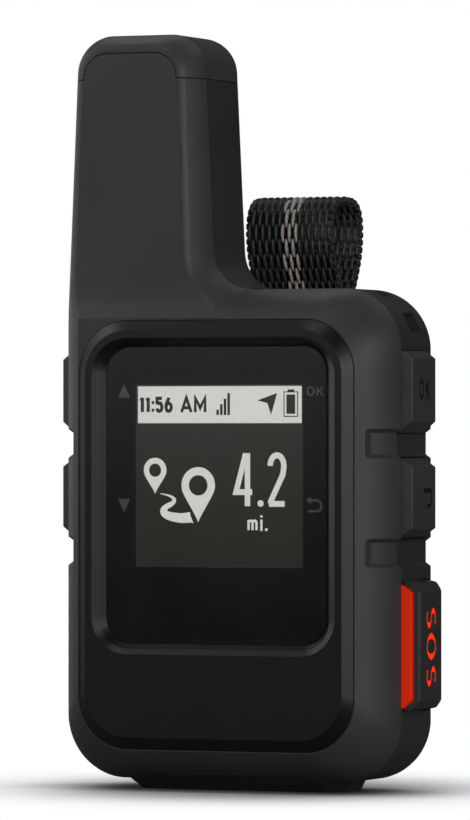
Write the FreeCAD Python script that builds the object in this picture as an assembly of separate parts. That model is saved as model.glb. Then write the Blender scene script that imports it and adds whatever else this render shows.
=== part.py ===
import FreeCAD, Part
import math
import os

# A hand-held satellite navigator with a stub antenna, side keys, a guarded emergency button
# and a webbing loop on its back. Millimetres. X to the viewer's right, Z up, and the face looks
# along -Y. The origin is the centre of the foot's underside.

# ---- driving dimensions ----
FACE_Y = -12.0  # the front face's plane; every "depth" below is measured back from it
HALF_W = 23.5
BODY_BOTTOM, BODY_TOP = 1.4, 65.48
TOTAL_H = 99.0
BACK_D = 20.9  # depth of the back
SEAM_D = 7.3  # depth of the seam between the front and rear housings
BEVEL_D = 1.03  # depth of the bezel's outer edge
SPINE_D = 26.1  # depth of the spine's crest

SKIN_R = 9.87  # the front housing's rounded flank: an arc in section
SKIN_FROM, SKIN_TO = 80.0, 36.0  # degrees of its normal from the front, at seam and bezel
SKIN_IN = SKIN_R * math.sin(math.radians(SKIN_FROM))  # the arc's centre, in from the side
SKIN_D = SEAM_D + SKIN_R * math.cos(math.radians(SKIN_FROM))  # and back from the face
REAR_R = 4.0
CORNER_R, CORNER_FALL = 7.9, 0.23  # body corner radius at the seam, and its loss per mm inset
THROAT_R, CAP_R = 5.5, 4.8  # where the antenna leaves the body, and at its top
ANTENNA_REF_Z = 91.65
ANTENNA_LEFT, ANTENNA_LEFT_SLOPE = -22.23, 0.043
ANTENNA_RIGHT, ANTENNA_RIGHT_SLOPE = -3.94, -0.048
ANTENNA_X = -13.1
PANEL_D = 2.9  # depth of the antenna's flat front
PANEL_EDGE_R = 1.45
CAP_Z = 93.0
ARCH_TOP, ARCH_R, ARCH_HALF = 96.4, 3.2, 6.7

WALL = 2.2
FRONT_FLOOR_D = 4.4  # the front housing's inner face
REAR_FLOOR_D = 19.2  # the rear housing's inner face
GAP = 0.1  # between fitted pieces

BEZEL_IN = 3.92
BEZEL_SEAT = 0.15  # flat lip of the housing left round the bezel
BEZEL_BACK_D = 3.0
RIM_HALF_W, RIM_BOTTOM, RIM_TOP, RIM_R = 18.15, 7.03, 60.14, 6.0
LENS_HALF_W, LENS_BOTTOM, LENS_TOP, LENS_R = 15.5, 19.4, 57.9, 3.2
LENS_D, LENS_T = 1.27, 1.0
SCREEN_W, SCREEN_H, SCREEN_Z = 23.2, 23.3, 41.15  # the lit area and its centre
SCREEN_D = 2.45

GROOVES = ((43.4, 47.3), (29.3, 33.15))
GROOVE_DEEP = 0.65
GROOVE_WALL = 0.55  # height of each sloping wall
GROOVE_FROM, GROOVE_RAMP = 44.0, 51.0  # skin angles where it starts and is full depth

KEY_OUT = 24.9  # outer face of a side key
KEY_TRAVEL = 0.35
KEY_FRONT_D, KEY_BACK_D = 7.45, 16.2
# each key's heights at the side and at its flat face, and whether each end runs down into a groove
KEYS = {
    "upper": ((47.1, 57.4), (48.2, 56.4), (True, False)),
    "lower": ((33.4, 43.2), (34.35, 42.3), (True, True)),
}
KEY_LEAN = 0.3  # how far a key's front and back lean in
KEY_GAP = 0.12
KEY_UNDER, KEY_FLOOR = 23.0, 22.6
STEM_TIP, STEM_D, STEM_HALF = 21.0, (10.25, 13.55), 1.65
STEM_HOLE_D, STEM_HOLE_HALF = (10.0, 13.8), 1.9

SOS_BASE, SOS_CREST = (11.09, 27.04), (12.27, 26.08)
SOS_OUT = 24.85
COVER_BASE, COVER_CREST = (10.7, 27.6), (12.3, 26.0)
COVER_OUT, COVER_T = 26.0, 0.9
COVER_BEND = 24.8  # the ends start to slope in here
SOS_FLOOR = 22.5  # the pocket's floor
SOS_LUGS = ((12.5, 14.2), (24.1, 25.8))
HINGE_X, HINGE_D, HINGE_R = 24.05, 15.2, 0.5

FOOT_HALF, FOOT_SPREAD = 14.9, 0.75  # half its length at the sole, and its ends' spread per mm up
FOOT_FRONT = 62.0  # skin angle where the foot's front runs on from the flank
FOOT_SOLE_D = (8.2, 17.0)
FOOT_BEVEL = 0.4

LANYARD_R, LANYARD_ANGLES = (4.3, 6.3), ((17.0, 37.0), (61.0, 80.0))
LANYARD_D = (11.4, 15.2)
LANYARD_CENTRE = (HALF_W - CORNER_R, BODY_TOP - CORNER_R)
LANYARD_WALL_R = 2.9

USB_Z, USB_D = (9.5, 20.5), (8.4, 16.0)
USB_MID = sum(USB_Z) / 2
USB_FLAP = 0.95  # depth of the flap's seat
USB_MOUTH_D, USB_MOUTH_HALF = (8.9, 13.6), 4.4

POWER_X, POWER_D = (1.0, 8.0), (10.4, 15.0)

CASE_SCREWS = ((-16.6, 7.3), (16.6, 7.3), (-18.6, 59.6), (10.6, 60.4))
CASE_SEAT_D = BACK_D - 3.2
BOARD_SCREWS = ((-17.6, 29.2), (17.6, 29.2), (-17.6, 52.0), (17.6, 52.0))
BOARD_D, BOARD_T = 8.6, 1.0
BOARD_BACK_D = BOARD_D + BOARD_T
FORMER_D = 12.9  # depth of the antenna former's axis
VENT_X, VENT_Z = 14.6, 17.0

INSERT_Z, INSERT_R, INSERT_L = 42.0, 1.9, 5.5
ADAPTER_Z, ADAPTER_SEAT_D = (34.0, 61.0), 29.2
THROAT = (28.4, 34.0)

WEB_W, WEB_T = 12.7, 1.5
WEB_D = 31.2  # depth of the two layers' meeting plane
WEB_EYE = 1.0  # the hole starts this far above the eye
# the middle line of the loop: depth from WEB_D and height, up the front and down the back
WEB_LINE = [
    (-0.75, 61.6), (-0.95, 63.1), (-1.8, 64.9), (-2.75, 66.8), (-3.8, 68.6), (-4.7, 70.5), (-5.15, 72.6),
    (-5.05, 74.7), (-4.45, 76.3), (-3.2, 77.35), (-1.5, 77.7), (0.6, 77.75), (2.5, 77.6), (3.95, 76.9),
    (4.85, 75.6), (5.1, 73.9), (4.95, 72.0), (4.4, 69.9), (3.5, 68.0), (2.55, 66.3), (1.65, 64.7),
    (0.95, 63.1), (0.75, 61.6),
]
EYE_Z = 62.8  # where the two layers meet
BAR_Z, BAR_R = 54.5, 1.1


# ---- helpers ----
def at(x, depth, z):
    """A point: x, depth behind the face, and height."""
    return FreeCAD.Vector(x, FACE_Y + depth, z)


def box(x0, x1, d0, d1, z0, z1):
    """A box between two x, two depths and two heights."""
    return Part.makeBox(x1 - x0, d1 - d0, z1 - z0, at(x0, d0, z0))


def cylinder(radius, start, end):
    """A round bar from one point to another."""
    return Part.makeCylinder(radius, (end - start).Length, start, end - start)


def rounded(corners, place):
    """A closed wire: corners are (u, v, radius), and place turns u and v into a point."""
    arcs = []
    count = len(corners)
    for i in range(count):
        before, here, after = (FreeCAD.Vector(*corners[j % count][:2], 0) for j in (i - 1, i, i + 1))
        radius = corners[i][2]
        back, on = (before - here).normalize(), (after - here).normalize()
        half = back.getAngle(on) / 2
        inward = (back + on).normalize()
        cut = radius / math.tan(half)
        middle = here + inward * (radius / math.sin(half) - radius)
        arcs.append((here + back * cut, middle, here + on * cut))
    edges = []
    for i in range(count):
        start, middle, end = (place(p.x, p.y) for p in arcs[i])
        if corners[i][2] > 0:
            edges.append(Part.Arc(start, middle, end).toShape())
        nxt = arcs[(i + 1) % count][0]
        nxt = place(nxt.x, nxt.y)
        if (nxt - end).Length > 1e-6:
            edges.append(Part.LineSegment(end, nxt).toShape())
    return Part.Wire(edges)


def prism(corners, d0, d1):
    """A solid between two depths from an outline of (x, z, radius) corners."""
    face = Part.Face(rounded(corners, lambda x, z: at(x, d0, z)))
    return face.extrude(FreeCAD.Vector(0, d1 - d0, 0))


def upright(corners, z0, z1):
    """A solid between two heights from an outline of (x, depth, radius) corners."""
    face = Part.Face(rounded(corners, lambda x, d: at(x, d, z0)))
    return face.extrude(FreeCAD.Vector(0, 0, z1 - z0))


def across(corners, x0, x1):
    """A solid between two x from an outline of (depth, z, radius) corners."""
    face = Part.Face(rounded(corners, lambda d, z: at(x0, d, z)))
    return face.extrude(FreeCAD.Vector(x1 - x0, 0, 0))


def pad(x0, x1, z0, z1, radius):
    """The corners of an upright rounded rectangle."""
    return [(x0, z0, radius), (x1, z0, radius), (x1, z1, radius), (x0, z1, radius)]


def loft(wires):
    return Part.makeLoft(wires, True, False)


def hip(levels, lean, d0, d1):
    """A block along X whose section changes: levels are (x, (z0, z1)), and the ends lean in by lean."""
    (base_x, _), (crest_x, _) = levels[-2:]
    wires = []
    for x, (z0, z1) in levels:
        tilt = lean * max(x - base_x, 0) / (crest_x - base_x)
        corners = [at(x, d0 + tilt, z0), at(x, d1 - tilt, z0), at(x, d1 - tilt, z1), at(x, d0 + tilt, z1)]
        wires.append(Part.makePolygon(corners + corners[:1]))
    return Part.makeLoft(wires, True, True)


def softened(shape, radius, chosen):
    """Rounds the edges that the test picks."""
    edges = [e for e in shape.Edges if chosen(e)]
    if not edges:
        raise ValueError("no edge picked")
    return shape.makeFillet(radius, edges)


def mirrored(shape):
    """The same piece on the other side."""
    return shape.mirror(FreeCAD.Vector(0, 0, 0), FreeCAD.Vector(1, 0, 0))


def export(name, *shapes):
    solids = [solid for shape in shapes for solid in shape.Solids]
    shape = solids[0] if len(solids) == 1 else Part.makeCompound(solids)
    if not solids or not shape.isValid():
        raise ValueError(f"{name} is not a valid solid")
    shape.exportStep(os.path.join("parts", name + ".step"))


# ---- the outline that every shell follows ----
def outline(inset):
    """Corners of the body and antenna seen from the front, moved in from the seam's outline."""
    side, top = HALF_W - inset, BODY_TOP - inset
    corner = max(CORNER_R - CORNER_FALL * inset, 1.0)
    cap = max(CAP_R - 0.5 * inset, 0.8)

    def left(z):
        return ANTENNA_LEFT + ANTENNA_LEFT_SLOPE * (z - ANTENNA_REF_Z) + inset

    def right(z):
        return ANTENNA_RIGHT + ANTENNA_RIGHT_SLOPE * (z - ANTENNA_REF_Z) - inset

    bend_z = ANTENNA_REF_Z + (-HALF_W - ANTENNA_LEFT) / ANTENNA_LEFT_SLOPE
    return [
        (-side, BODY_BOTTOM + inset, corner),
        (side, BODY_BOTTOM + inset, corner),
        (side, top, corner),
        (right(top), top, THROAT_R + 0.8 * inset),
        (right(TOTAL_H - inset), TOTAL_H - inset, cap),
        (left(TOTAL_H - inset), TOTAL_H - inset, cap),
        (-side, bend_z, 60.0),
    ]


def skin(angle, shrink=0.0):
    """Inset and depth of the rounded flank where its normal is that angle from the front."""
    turn = math.radians(angle)
    radius = SKIN_R - shrink
    return SKIN_IN - radius * math.sin(turn), SKIN_D - radius * math.cos(turn)


def front_envelope():
    """The front half's outer shape, with the antenna's flat panel and the ramp below it."""
    wires = []
    steps = 6
    for i in range(steps + 1):
        inset, depth = skin(SKIN_FROM + (SKIN_TO - SKIN_FROM) * i / steps)
        wires.append(rounded(outline(inset), lambda x, z: at(x, depth, z)))
    shape = loft(wires)
    ramp_foot = BODY_TOP - BEZEL_IN + BEZEL_SEAT
    panel = [
        (BEVEL_D, ramp_foot, 0),
        (PANEL_D - 0.25, ramp_foot + 2.7, 5.0),
        (PANEL_D + 0.35, TOTAL_H + 2, 0),
        (-5, TOTAL_H + 2, 0),
        (-5, ramp_foot, 0),
    ]
    shape = shape.cut(across(panel, -HALF_W - 5, HALF_W + 5))
    behind, above = FACE_Y + PANEL_D + 0.4, ramp_foot + 3.5
    return softened(shape, PANEL_EDGE_R, lambda e: e.BoundBox.ZMin > above and e.BoundBox.YMax < behind)


def rear_envelope():
    """The rear half's outer shape, rounded to the back."""
    shape = prism(outline(0), SEAM_D, BACK_D)
    back = FACE_Y + BACK_D
    return softened(shape, REAR_R, lambda e: all(abs(v.Y - back) < 1e-4 for v in e.Vertexes))


def groove_section(deep, z):
    """The outline, at one height, of what a grip groove of that depth takes off the right side."""
    start, full = skin(GROOVE_FROM, min(deep, 0)), skin(GROOVE_RAMP, deep)
    mid, end = skin((GROOVE_RAMP + SKIN_FROM) / 2, deep), skin(SKIN_FROM, deep)
    side, turn_r = HALF_W - deep, REAR_R - deep
    turn_x, turn_d = HALF_W - REAR_R, BACK_D - REAR_R
    slant = turn_r * math.sqrt(0.5)
    beyond, before = HALF_W + 6, -4
    ramp_x, ramp_d = HALF_W - start[0], start[1]
    lines = [
        [(ramp_x, ramp_d), (HALF_W - full[0], full[1])],
        [(HALF_W - full[0], full[1]), (HALF_W - mid[0], mid[1]), (HALF_W - end[0], end[1])],
        [(HALF_W - end[0], end[1]), (side, SEAM_D + 0.3)],
        [(side, SEAM_D + 0.3), (side, turn_d)],
        [(side, turn_d), (turn_x + slant, turn_d + slant), (turn_x, turn_d + turn_r)],
        [(turn_x, turn_d + turn_r), (turn_x - 1.2, BACK_D + 0.1)],
        [(turn_x - 1.2, BACK_D + 0.1), (turn_x - 1.2, BACK_D + 4)],
        [(turn_x - 1.2, BACK_D + 4), (beyond, BACK_D + 4)],
        [(beyond, BACK_D + 4), (beyond, before)],
        [(beyond, before), (ramp_x - 0.6, before)],
        [(ramp_x - 0.6, before), (ramp_x, ramp_d)],
    ]
    edges = []
    for points in lines:
        points = [at(x, depth, z) for x, depth in points]
        kind = Part.Arc if len(points) == 3 else Part.LineSegment
        edges.append(kind(*points).toShape())
    return Part.Wire(edges)


def groove_tool(z0, z1):
    """One grip groove across the right flank, with a ramp at the front and sloping walls."""
    clear = -0.06
    levels = [(clear, z0), (GROOVE_DEEP, z0 + GROOVE_WALL), (GROOVE_DEEP, z1 - GROOVE_WALL), (clear, z1)]
    tool = Part.makeLoft([groove_section(deep, z) for deep, z in levels], True, True)
    left = HALF_W - skin(GROOVE_FROM)[0] - 0.2
    return tool.common(prism(pad(left, HALF_W + 5, z0, z1, 1.0), -3, BACK_D + 3))


# ---- shells ----
def cavity(inset, d0, d1):
    return prism(outline(inset), d0, d1)


def arch(extra, d0, d1):
    """The tongue of the antenna's front panel that reaches up into the cap."""
    half = ARCH_HALF + extra
    low = CAP_Z - 6
    corners = [
        (ANTENNA_X - half, low, 0),
        (ANTENNA_X + half, low, 0),
        (ANTENNA_X + half - 0.2, ARCH_TOP + extra, ARCH_R + extra),
        (ANTENNA_X - half + 0.2, ARCH_TOP + extra, ARCH_R + extra),
    ]
    return prism(corners, d0, d1)


def sector(r0, r1, a0, a1, d0, d1):
    """A piece of a ring about the lanyard corner's centre, between two angles and two depths."""
    cx, cz = LANYARD_CENTRE
    angles = [math.radians(a) for a in (a0, (a0 + a1) / 2, a1)]
    inner, outer = ([at(cx + r * math.cos(a), d0, cz + r * math.sin(a)) for a in angles] for r in (r0, r1))
    edges = [
        Part.Arc(*outer).toShape(),
        Part.LineSegment(outer[2], inner[2]).toShape(),
        Part.Arc(*reversed(inner)).toShape(),
        Part.LineSegment(inner[0], outer[0]).toShape(),
    ]
    return Part.Face(Part.Wire(edges)).extrude(FreeCAD.Vector(0, d1 - d0, 0))


def lanyard_tool():
    """The curved tunnel behind the corner and its two mouths."""
    first, last = LANYARD_ANGLES[0][0], LANYARD_ANGLES[1][1]
    tool = sector(*LANYARD_R, first, last, *LANYARD_D)
    for a0, a1 in LANYARD_ANGLES:
        tool = tool.fuse(sector(LANYARD_R[0], CORNER_R + 3, a0, a1, *LANYARD_D))
    return tool


def front_housing(envelope):
    shape = envelope.cut(box(-30, 30, -5, 30, CAP_Z, TOTAL_H + 5).cut(arch(0, -5, 30)))
    shape = shape.cut(cavity(2.7, FRONT_FLOOR_D, SEAM_D + 1))
    shape = shape.cut(prism(bezel_outline(BEZEL_SEAT), -5, BEZEL_BACK_D))
    shape = shape.cut(prism(pad(-13.8, 13.8, 26.2, 56.0, 0.6), 0, 10))
    for x, z in CASE_SCREWS:
        boss = cylinder(2.4, at(x, FRONT_FLOOR_D - 0.2, z), at(x, SEAM_D, z))
        shape = shape.fuse(boss).cut(cylinder(0.7, at(x, FRONT_FLOOR_D - 0.4, z), at(x, SEAM_D + 1, z)))
    for x, z in BOARD_SCREWS:
        boss = cylinder(1.7, at(x, FRONT_FLOOR_D - 0.2, z), at(x, BOARD_D, z))
        shape = shape.fuse(boss).cut(cylinder(0.55, at(x, FRONT_FLOOR_D + 0.4, z), at(x, BOARD_D + 1, z)))
    for tool in grooves:
        shape = shape.cut(tool)
    return shape


def bezel_outline(shrink):
    """The front panel's outer outline, moved in by shrink."""
    inset = BEZEL_IN + shrink
    half = HALF_W - inset
    radius = CORNER_R - CORNER_FALL * BEZEL_IN - shrink
    return pad(-half, half, BODY_BOTTOM + inset, BODY_TOP - inset, radius)


def spine():
    """The mounting rail on the back: a T section, open at its top end."""
    web = box(-6.2, 6.2, REAR_FLOOR_D, SPINE_D - 2.2, 12.0, 56.0)
    crest = prism(pad(-9.0, 9.0, 11.0, 56.0, 1.5), SPINE_D - 2.2, SPINE_D)
    foot = prism(pad(-9.0, 9.0, 9.0, 16.0, 1.5), REAR_FLOOR_D, SPINE_D - 2.2)
    return web.fuse(crest).fuse(foot).removeSplitter()


def rear_housing(envelope):
    shape = envelope.cut(box(-30, 30, -5, 30, CAP_Z, TOTAL_H + 5)).fuse(spine())
    room = cavity(WALL, SEAM_D - 1, REAR_FLOOR_D)
    cx, cz = LANYARD_CENTRE
    corner = box(cx, cx + 12, SEAM_D - 2, BACK_D, cz, cz + 12)
    corner = corner.cut(cylinder(LANYARD_WALL_R, at(cx, SEAM_D - 3, cz), at(cx, BACK_D + 1, cz)))
    left_of_corner = box(cx - 4, cx, SEAM_D - 2, BACK_D, cz + LANYARD_WALL_R, cz + 12)
    shape = shape.cut(room.cut(corner).cut(left_of_corner)).cut(lanyard_tool())
    for x, z in CASE_SCREWS:
        boss = cylinder(2.6, at(x, SEAM_D, z), at(x, REAR_FLOOR_D + 0.2, z))
        shape = shape.fuse(boss).cut(cylinder(1.0, at(x, SEAM_D - 1, z), at(x, BACK_D + 1, z)))
        shape = shape.cut(cylinder(1.9, at(x, CASE_SEAT_D, z), at(x, BACK_D + 1, z)))
    for tool in grooves + key_pockets() + [sos_pocket(), usb_pocket(), power_pocket()]:
        shape = shape.cut(tool)
    shape = shape.cut(gasket_ring(0.05))
    shape = shape.cut(cylinder(INSERT_R, at(0, SPINE_D - INSERT_L, INSERT_Z), at(0, SPINE_D + 1, INSERT_Z)))
    for x in (VENT_X - 2.4, VENT_X, VENT_X + 2.4):
        shape = shape.cut(cylinder(0.5, at(x, REAR_FLOOR_D - 1, VENT_Z), at(x, BACK_D + 1, VENT_Z)))
    for lug in sos_lugs():
        shape = shape.fuse(lug)
    return shape.cut(hinge_bar(HINGE_R, 5, 35))


def antenna_cap(front, rear):
    above = box(-30, 30, -5, 30, CAP_Z + GAP, TOTAL_H + 5)
    shape = front.cut(arch(GAP, -5, SEAM_D)).fuse(rear).common(above)
    shape = shape.cut(cavity(2.7, FRONT_FLOOR_D, SEAM_D)).cut(cavity(WALL, SEAM_D, REAR_FLOOR_D))
    return shape.removeSplitter()


def gasket_ring(extra):
    """The seal between the two housings, round the whole seam."""
    ring = cavity(1.2 - extra, SEAM_D, SEAM_D + 0.7 + extra)
    ring = ring.cut(cavity(1.8 + extra, SEAM_D - 1, SEAM_D + 2))
    return ring.common(box(-30, 30, -5, 30, -5, CAP_Z - 1.0))


def base_foot():
    """The low pad under the body, whose sloping front runs on from the flank."""
    x = -HALF_W
    turn_d = BACK_D - REAR_R
    front_in, front_d = skin(FOOT_FRONT)
    mid_in, mid_d = skin((FOOT_FRONT + SKIN_FROM) / 2)
    sole, heel = FOOT_SOLE_D
    lip = BODY_BOTTOM + front_in
    corners = [at(x, turn_d, BODY_BOTTOM), at(x, SEAM_D, BODY_BOTTOM), at(x, front_d, lip)]
    corners += [at(x, front_d, lip - 0.1), at(x, sole - 0.3, FOOT_BEVEL), at(x, sole, 0)]
    corners += [at(x, heel, 0), at(x, heel + 0.3, FOOT_BEVEL), at(x, heel + 0.3, BODY_BOTTOM)]
    edges = [Part.LineSegment(corners[0], corners[1]).toShape()]
    edges.append(Part.Arc(corners[1], at(x, mid_d, BODY_BOTTOM + mid_in), corners[2]).toShape())
    edges += [Part.LineSegment(a, b).toShape() for a, b in zip(corners[2:], corners[3:] + corners[:1])]
    shape = Part.Face(Part.Wire(edges)).extrude(FreeCAD.Vector(2 * HALF_W, 0, 0))
    slope = (sole - 0.3 - front_d) / (lip - 0.1 - FOOT_BEVEL)
    plans = []
    for z in (-0.1, 3.0):
        spread = FOOT_SPREAD * z
        half, front = FOOT_HALF + spread, sole - 0.3 + slope * (FOOT_BEVEL - z) - 0.15
        plan = pad(-half, half, front, heel + 0.4, 3.5 + spread)
        plans.append(rounded(plan, lambda u, d: at(u, d, z)))
    return shape.common(Part.makeLoft(plans, True, True))


# ---- front panel and screen ----
def display_bezel():
    """The dark front panel: bevelled edge, flat rim and chin, and the stepped lens recess."""
    edge = bezel_outline(BEZEL_SEAT + 0.05)
    shape = prism(edge, BEVEL_D, BEZEL_BACK_D)
    wide = rounded(edge, lambda x, z: at(x, BEVEL_D, z))
    flat = rounded(pad(-RIM_HALF_W, RIM_HALF_W, RIM_BOTTOM, RIM_TOP, RIM_R), lambda x, z: at(x, 0, z))
    shape = shape.fuse(Part.makeLoft([wide, flat], True, True))
    steps = ((1.7, 1.5, 0.0), (0.7, 0.8, 0.53), (0.1, 0.1, LENS_D + 0.05))
    wires = []
    for out, low, depth in steps:
        side = LENS_HALF_W + out
        z0, z1 = LENS_BOTTOM - low, LENS_TOP + min(out, 1.2)
        wires.append(rounded(pad(-side, side, z0, z1, LENS_R + out), lambda x, z: at(x, depth, z)))
    shape = shape.cut(Part.makeLoft(wires, True, True))
    half = LENS_HALF_W + 0.1
    seat = pad(-half, half, LENS_BOTTOM - 0.1, LENS_TOP + 0.1, LENS_R + 0.1)
    shape = shape.cut(prism(seat, LENS_D, LENS_D + LENS_T + 0.1))
    return shape.cut(prism(pad(-14.1, 14.1, 25.9, 56.3, 0.5), 0, 5)).removeSplitter()


def lens_window():
    corners = pad(-LENS_HALF_W, LENS_HALF_W, LENS_BOTTOM, LENS_TOP, LENS_R)
    return prism(corners, LENS_D, LENS_D + LENS_T)


def lens_adhesive():
    """The black bonding frame behind the window, which also frames the screen."""
    d0 = LENS_D + LENS_T
    shape = prism(pad(-LENS_HALF_W, LENS_HALF_W, LENS_BOTTOM, LENS_TOP, LENS_R), d0, d0 + 0.1)
    half_w, half_h = SCREEN_W / 2 + 0.25, SCREEN_H / 2 + 0.25
    return shape.cut(prism(pad(-half_w, half_w, SCREEN_Z - half_h, SCREEN_Z + half_h, 0.4), 0, 5))


def display_module():
    """The reflective liquid-crystal screen: glass, and the wider rear glass with its ledge."""
    glass = prism(pad(-12.9, 12.9, 28.4, 54.0, 0.3), SCREEN_D, SCREEN_D + 0.7)
    return glass.fuse(prism(pad(-12.9, 12.9, 26.8, 54.0, 0.3), SCREEN_D + 0.7, 4.3)).removeSplitter()


def display_bracket():
    """The frame that holds the screen in the housing, notched for the ribbon."""
    shape = prism(pad(-15.2, 15.2, 25.4, 56.8, 1.0), FRONT_FLOOR_D, 5.6)
    shape = shape.cut(box(-5.3, 5.3, 4, 6, 25, 29))
    return shape.cut(prism(pad(-10.5, 10.5, 30.5, 51.5, 1.0), 4, 6))


def display_ribbon():
    """The ribbon from the screen's lower ledge straight back to the main board."""
    bend, low = 28.3, 27.0
    section = [(4.3, bend), (4.5, bend), (4.5, low + 0.2), (BOARD_D, low + 0.2), (BOARD_D, low), (4.3, low)]
    return across([(d, z, 0) for d, z in section], -5, 5)


# ---- side keys ----
def key_foot(row):
    """The heights of a key's ends at its underside, where its slopes run on into the grooves."""
    base, crest, runs_on = KEYS[row]
    share = (HALF_W - KEY_UNDER) / (KEY_OUT - HALF_W)
    return [b + (b - c) * share * run for b, c, run in zip(base, crest, runs_on)]


def key_pockets():
    tools = []
    for row, (base, _, _) in KEYS.items():
        foot = key_foot(row)
        for half in (1, -1):
            x0, x1 = sorted((half * KEY_FLOOR, half * 30))
            back = KEY_BACK_D + KEY_GAP
            tools.append(box(x0, x1, SEAM_D - 1, back, foot[0] - KEY_GAP, foot[1] + KEY_GAP))
            middle = sum(base) / 2
            x0, x1 = sorted((half * 20, half * 24))
            tools.append(box(x0, x1, *STEM_HOLE_D, middle - STEM_HOLE_HALF, middle + STEM_HOLE_HALF))
    return tools


def side_key(row):
    """A right-hand key: a hipped cap on a stem that goes through the housing's wall."""
    base, crest, _ = KEYS[row]
    levels = [(KEY_UNDER, key_foot(row)), (HALF_W, base), (KEY_OUT, crest)]
    shape = hip(levels, KEY_LEAN, KEY_FRONT_D, KEY_BACK_D).removeSplitter()
    shape = softened(shape, 0.22, lambda e: e.BoundBox.XMax > KEY_OUT - 0.01)
    middle = sum(base) / 2
    stem = box(STEM_TIP, KEY_UNDER, *STEM_D, middle - STEM_HALF, middle + STEM_HALF)
    return shape.fuse(stem).removeSplitter()


def key_board(sign):
    """The flexible board behind a row of keys, with its press switches."""
    x0, x1 = sorted((sign * 19.5, sign * 19.9))
    shape = box(x0, x1, 9.9, 14.4, 11.0 if sign > 0 else 31.5, 57.0)
    inner, outer = sorted((sign * 19.9, sign * 20.5))
    spots = [sum(base) / 2 for base, _, _ in KEYS.values()]
    if sign > 0:
        spots.append(sum(SOS_BASE) / 2)
    for z in spots:
        shape = shape.fuse(box(inner, outer, 10.4, 13.4, z - 1.5, z + 1.5))
    return shape.removeSplitter()


# ---- emergency button and its cover ----
def sos_pocket():
    button = box(SOS_FLOOR, 30, SEAM_D - 1, 14.05, SOS_BASE[0] - 0.12, SOS_BASE[1] + 0.12)
    hinge = box(SOS_FLOOR, 30, 13.6, 17.1, COVER_BASE[0] - 0.15, COVER_BASE[1] + 0.15)
    middle = sum(SOS_BASE) / 2
    hole = box(20, 24, *STEM_HOLE_D, middle - STEM_HOLE_HALF, middle + STEM_HOLE_HALF)
    return button.fuse(hinge).fuse(hole)


def sos_lugs():
    """Two ears on the rear housing that hold the hinge pin."""
    inner, outer, front_d, back_d = SOS_FLOOR - 0.4, 24.85, 14.2, 16.2
    plan = [(inner, front_d, 0), (inner, back_d, 0), (outer, back_d, 0.7), (outer, front_d, 0.7)]
    return [upright(plan, z0, z1) for z0, z1 in SOS_LUGS]


def sos_button():
    """The emergency button that shows beside and through its cover."""
    back_d, under = 13.9, 23.0
    levels = [(under, SOS_BASE), (HALF_W, SOS_BASE), (SOS_OUT, SOS_CREST)]
    shape = hip(levels, 0.12, KEY_FRONT_D, back_d).removeSplitter()
    shape = softened(shape, 0.2, lambda e: e.BoundBox.XMin > SOS_OUT - 0.01)
    middle = sum(SOS_BASE) / 2
    stem = box(STEM_TIP, under, *STEM_D, middle - STEM_HALF, middle + STEM_HALF)
    return shape.fuse(stem).removeSplitter()


def sos_cover():
    """The guard over the emergency button: a shell that is open at the front."""
    base_x, roof_x = HALF_W + 0.1, COVER_OUT - COVER_T
    rear = [(base_x, HINGE_D + 1.15, 0.9), (COVER_OUT, HINGE_D + 1.05, 1.5)]
    plan = [(base_x, 7.75, 0.2)] + rear + [(COVER_OUT, 7.75, 0.55)]
    tall = upright(plan, *COVER_BASE)
    ends = [(base_x, COVER_BASE[0], 0), (base_x, COVER_BASE[1], 0)]
    ends += [(COVER_BEND, COVER_BASE[1] - 0.25, 0.6), (COVER_OUT + 0.01, COVER_CREST[1], 0.6)]
    ends += [(COVER_OUT + 0.01, COVER_CREST[0], 0.6), (COVER_BEND, COVER_BASE[0] + 0.25, 0.6)]
    side_on = Part.Face(rounded([(x, z, r) for x, z, r in ends], lambda x, z: at(x, 5, z)))
    shape = tall.common(side_on.extrude(FreeCAD.Vector(0, 15, 0)))
    room = [(base_x - 1, SOS_BASE[0] - 0.1), (base_x - 1, SOS_BASE[1] + 0.1), (HALF_W, SOS_BASE[1] + 0.1)]
    room += [(roof_x, SOS_CREST[1] + 0.1), (roof_x, SOS_CREST[0] - 0.1), (HALF_W, SOS_BASE[0] - 0.1)]
    hollow = prism([(x, z, 0) for x, z in room], 5, HINGE_D + 1.4)
    shape = shape.cut(hollow.cut(box(20, 30, HINGE_D + 1.2, 30, 0, 40)))
    return shape.cut(hinge_bar(HINGE_R + 0.05, 5, 35)).removeSplitter()


def hinge_bar(radius, z0, z1):
    """A round bar on the cover's hinge axis."""
    return cylinder(radius, at(HINGE_X, HINGE_D, z0), at(HINGE_X, HINGE_D, z1))


def sos_hinge_pin():
    return hinge_bar(HINGE_R, COVER_BASE[0] + 0.15, COVER_BASE[1] - 0.15)


# ---- charging port and power key ----
def usb_pocket():
    """A shallow seat for the weather cap and a deeper mouth in front of the port."""
    seat = box(-HALF_W - 5, -HALF_W + USB_FLAP, *USB_D, *USB_Z)
    mouth = box(-HALF_W, -20, *USB_MOUTH_D, USB_MID - USB_MOUTH_HALF, USB_MID + USB_MOUTH_HALF)
    return seat.fuse(mouth)


def usb_cap():
    """The rubber weather cap: a flush flap and the hollow plug that seals the mouth."""
    x = -HALF_W
    z0, z1 = USB_Z[0] + GAP, USB_Z[1] - GAP
    d0, d1 = USB_D[0] + GAP, USB_D[1] - GAP
    thick = USB_FLAP - GAP
    flap = upright([(x, d0, 0.2), (x + thick, d0, 0), (x + thick, d1, 0.35), (x, d1, 0.35)], z0, z1)
    plug = box(x + 0.8, x + 1.9, 9.7, 13.2, USB_MID - 4.1, USB_MID + 4.1)
    plug = plug.cut(box(x + 1.1, x + 3, 10.3, 12.6, USB_MID - 3.5, USB_MID + 3.5))
    return flap.fuse(plug).removeSplitter()


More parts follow.
